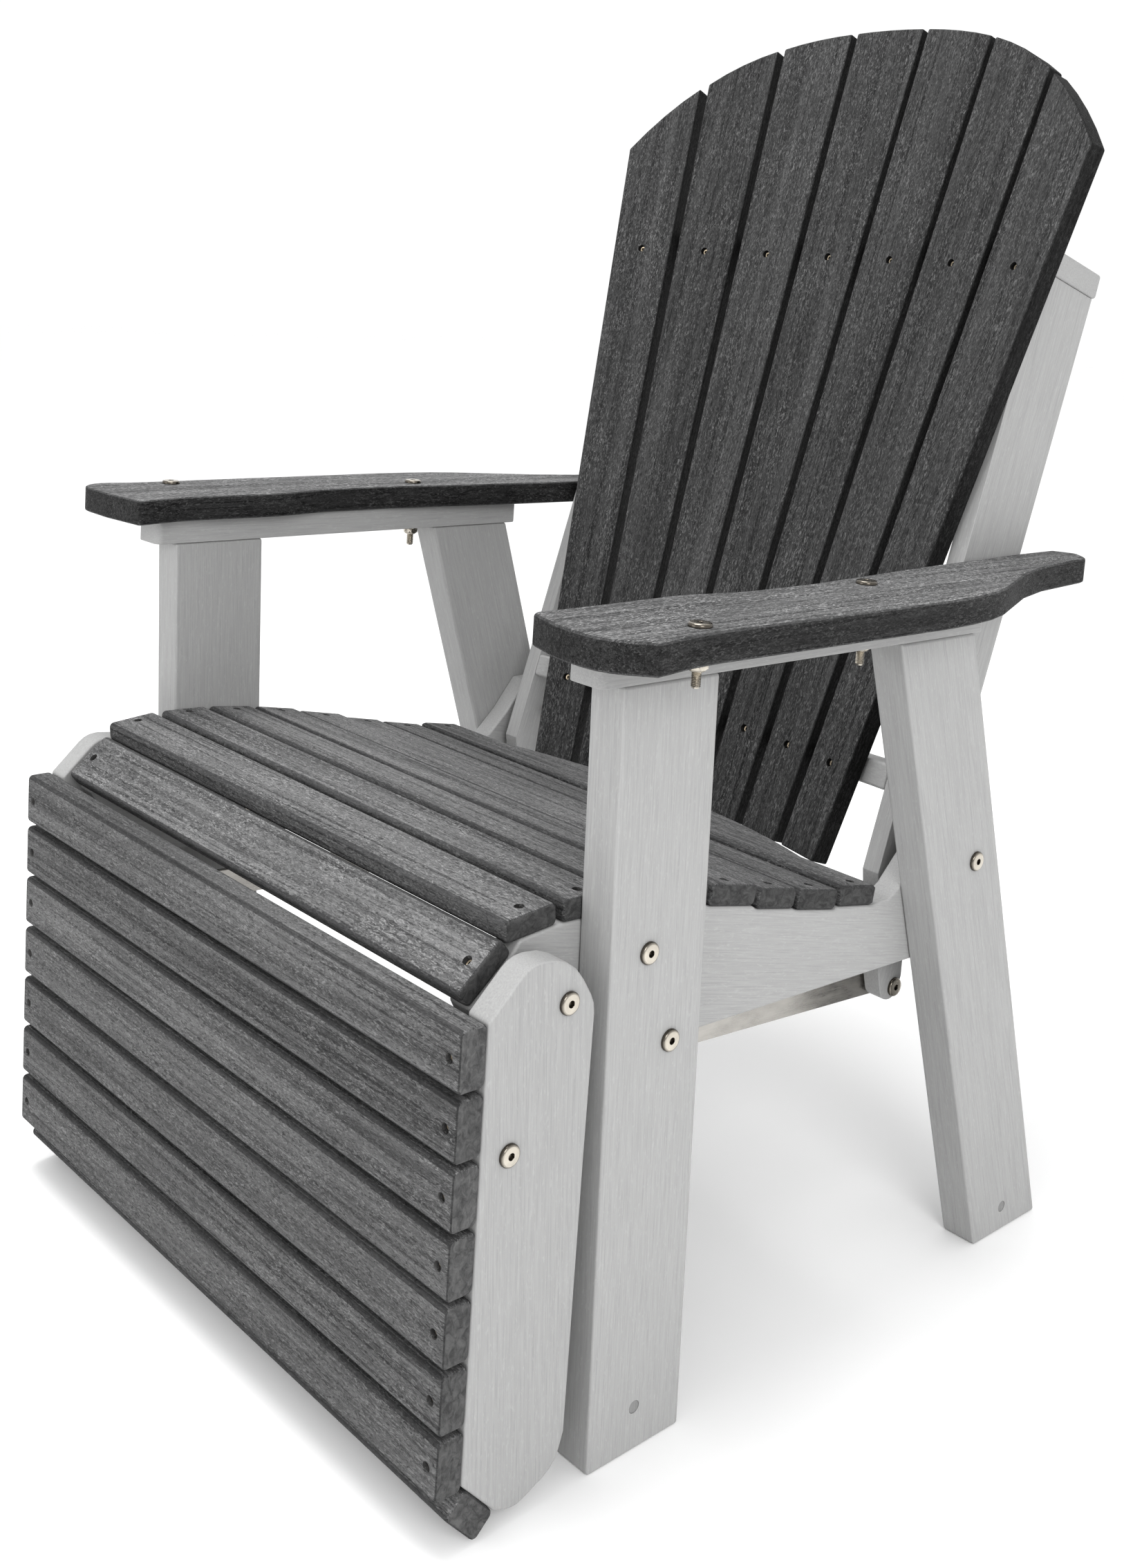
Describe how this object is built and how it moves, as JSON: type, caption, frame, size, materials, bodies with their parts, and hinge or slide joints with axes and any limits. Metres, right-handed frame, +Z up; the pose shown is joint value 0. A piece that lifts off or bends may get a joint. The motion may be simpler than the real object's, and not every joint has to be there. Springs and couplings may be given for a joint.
{
  "type": "reclining adirondack chair",
  "caption": "Two-tone adirondack chair with a hollowed fan back that reclines and a slatted footrest that swings out with it on side links.",
  "frame": {"origin": "on the ground, under the middle of the chair's box", "axes": "+Z up, the sitter faces -Y, +X is the sitter's left"},
  "size_m": [0.8379, 0.8949, 1.229],
  "materials": {
    "charcoal_board": "charcoal poly lumber, brushed wood-grain streaks along each board",
    "light_grey_board": "light grey poly lumber, faint grain along each board",
    "stainless_hardware": "stainless button-head bolts and lock nuts, slightly warm",
    "stainless_link": "flat stainless bar, brushed along its length"
  },
  "bodies": {
    "chair_frame": {"front_leg_left": "light_grey_board", "rear_leg_left": "light_grey_board", "seat_rail_left": "light_grey_board", "front_leg_right": "light_grey_board", "rear_leg_right": "light_grey_board", "seat_rail_right": "light_grey_board", "seat_slat_1": "charcoal_board", "seat_slat_2": "charcoal_board", "seat_slat_3": "charcoal_board", "seat_slat_4": "charcoal_board", "seat_slat_5": "charcoal_board", "seat_slat_6": "charcoal_board", "seat_slat_7": "charcoal_board", "seat_slat_8": "charcoal_board", "seat_slat_9": "charcoal_board", "armrest_left": "charcoal_board", "arm_support_left": "light_grey_board", "armrest_right": "charcoal_board", "arm_support_right": "light_grey_board", "leg_bolt_1_left": "stainless_hardware", "leg_bolt_2_left": "stainless_hardware", "arm_bolt_front_left": "stainless_hardware", "arm_bolt_rear_left": "stainless_hardware", "back_pivot_bolt_left": "stainless_hardware", "footrest_pivot_bolt_left": "stainless_hardware", "pivot_spacer_left": "stainless_hardware", "leg_bolt_1_right": "stainless_hardware", "leg_bolt_2_right": "stainless_hardware", "arm_bolt_front_right": "stainless_hardware", "arm_bolt_rear_right": "stainless_hardware", "back_pivot_bolt_right": "stainless_hardware", "footrest_pivot_bolt_right": "stainless_hardware", "pivot_spacer_right": "stainless_hardware"},
    "back": {"back_upright_left": "light_grey_board", "back_upright_right": "light_grey_board", "back_top_cap": "light_grey_board", "back_lower_brace": "light_grey_board", "back_slat_1": "charcoal_board", "back_slat_2": "charcoal_board", "back_slat_3": "charcoal_board", "back_slat_4": "charcoal_board", "back_slat_5": "charcoal_board", "back_slat_6": "charcoal_board", "back_slat_7": "charcoal_board", "link_bolt_rear_left": "stainless_hardware", "link_bolt_rear_right": "stainless_hardware"},
    "footrest": {"footrest_rail_left": "light_grey_board", "footrest_rail_right": "light_grey_board", "footrest_slat_1": "charcoal_board", "footrest_slat_2": "charcoal_board", "footrest_slat_3": "charcoal_board", "footrest_slat_4": "charcoal_board", "footrest_slat_5": "charcoal_board", "footrest_slat_6": "charcoal_board", "footrest_slat_7": "charcoal_board", "footrest_slat_8": "charcoal_board", "link_bolt_front_left": "stainless_hardware", "link_bolt_front_right": "stainless_hardware"},
    "links": {"link_bar_left": "stainless_link", "link_bar_right": "stainless_link"}
  },
  "joints": [
    {"name": "back_recline", "type": "hinge", "parent": "chair_frame", "child": "back", "pos_m": [0, 0.191, 0.4175], "axis": [-1, 0, 0], "range_deg": [0, 22]},
    {"name": "footrest_swing", "type": "hinge", "parent": "chair_frame", "child": "footrest", "pos_m": [0, -0.3315, 0.4195], "axis": [-1, 0, 0], "range_deg": [0, 34.6]},
    {"name": "link_turn", "type": "hinge", "parent": "back", "child": "links", "pos_m": [0, 0.1795, 0.2665], "axis": [-1, 0, 0], "range_deg": [-18.7, 0]}
  ],
  "couplings": [
    {"joint": "footrest_swing", "follows": "back_recline", "ratio": 1.568},
    {"joint": "link_turn", "follows": "back_recline", "ratio": -0.845}
  ]
}
